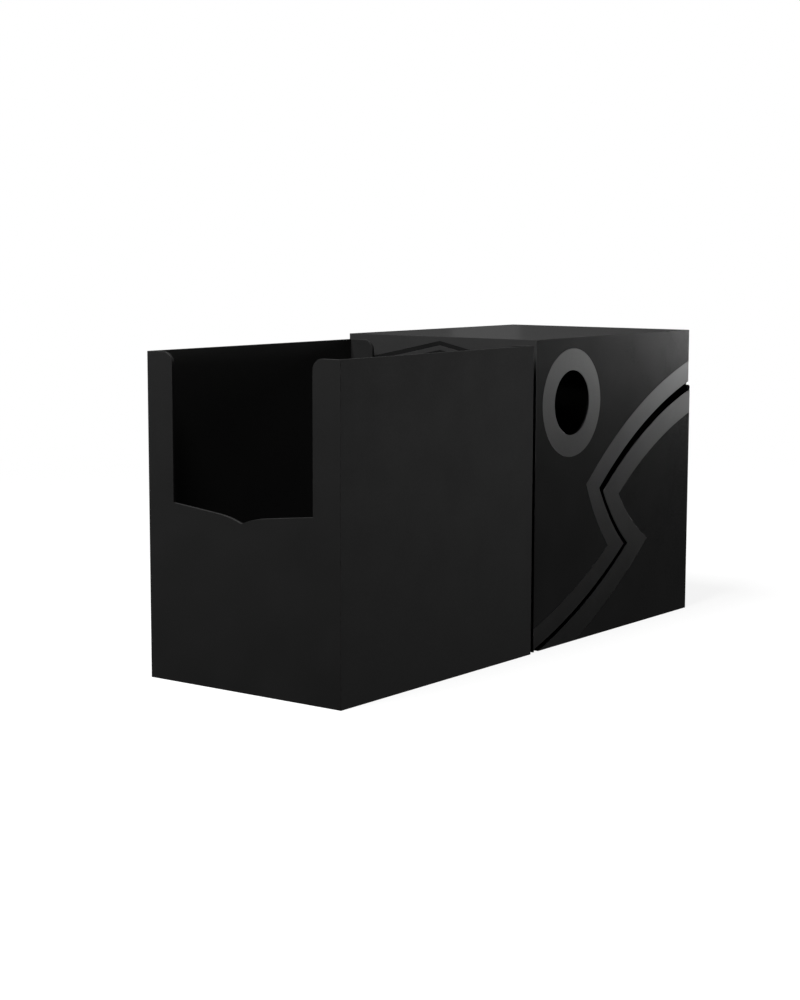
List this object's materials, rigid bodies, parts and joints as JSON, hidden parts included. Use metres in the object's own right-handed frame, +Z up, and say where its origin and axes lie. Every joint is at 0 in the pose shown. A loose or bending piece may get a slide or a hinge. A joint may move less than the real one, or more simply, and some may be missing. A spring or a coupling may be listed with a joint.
{
  "type": "card deck box",
  "caption": "Black box for a deck of cards: a loose open-top tray with notched ends, standing in front of its hinged jaw-shaped shell with an eye hole in each side.",
  "frame": {"origin": "bottom centre of the whole object's box: the ground under the gap between the standing tray and the closed shell", "axes": "+Z up; +Y from the tray towards the shell's hinge; +X to the right when looking along +Y"},
  "size_m": [0.077, 0.2044, 0.1017],
  "materials": {
    "black_moulding": "fine moulded texture, low sheen",
    "satin_trim": "satin foil, dark grey",
    "gloss_trim": "smooth gloss inlay",
    "steel": "drawn wire"
  },
  "bodies": {
    "base": {"base_shell": "black_moulding", "hinge_pin": "steel", "hinge_cap_left": "black_moulding", "hinge_cap_right": "black_moulding", "base_band_left": "satin_trim", "base_band_right": "satin_trim"},
    "lid": {"lid_shell": "black_moulding", "lid_band_left": "satin_trim", "lid_band_right": "satin_trim", "eye_ring_left": "satin_trim", "eye_ring_right": "satin_trim", "front_ornament": "gloss_trim"},
    "tray": {"card_tray": "black_moulding"}
  },
  "joints": [
    {"name": "lid_hinge", "type": "hinge", "parent": "base", "child": "lid", "pos_m": [-0.00047, 0.10115, 0.08085], "axis": [-1, 0, 0], "range_deg": [0, 110]},
    {"name": "tray_slide", "type": "slide", "parent": "base", "child": "tray", "axis": [0, -1, 0], "range_m": [0, 0.125]}
  ],
  "couplings": [
    {"joint": "tray_slide", "follows": "lid_hinge", "m_per_rad": 0.065}
  ]
}
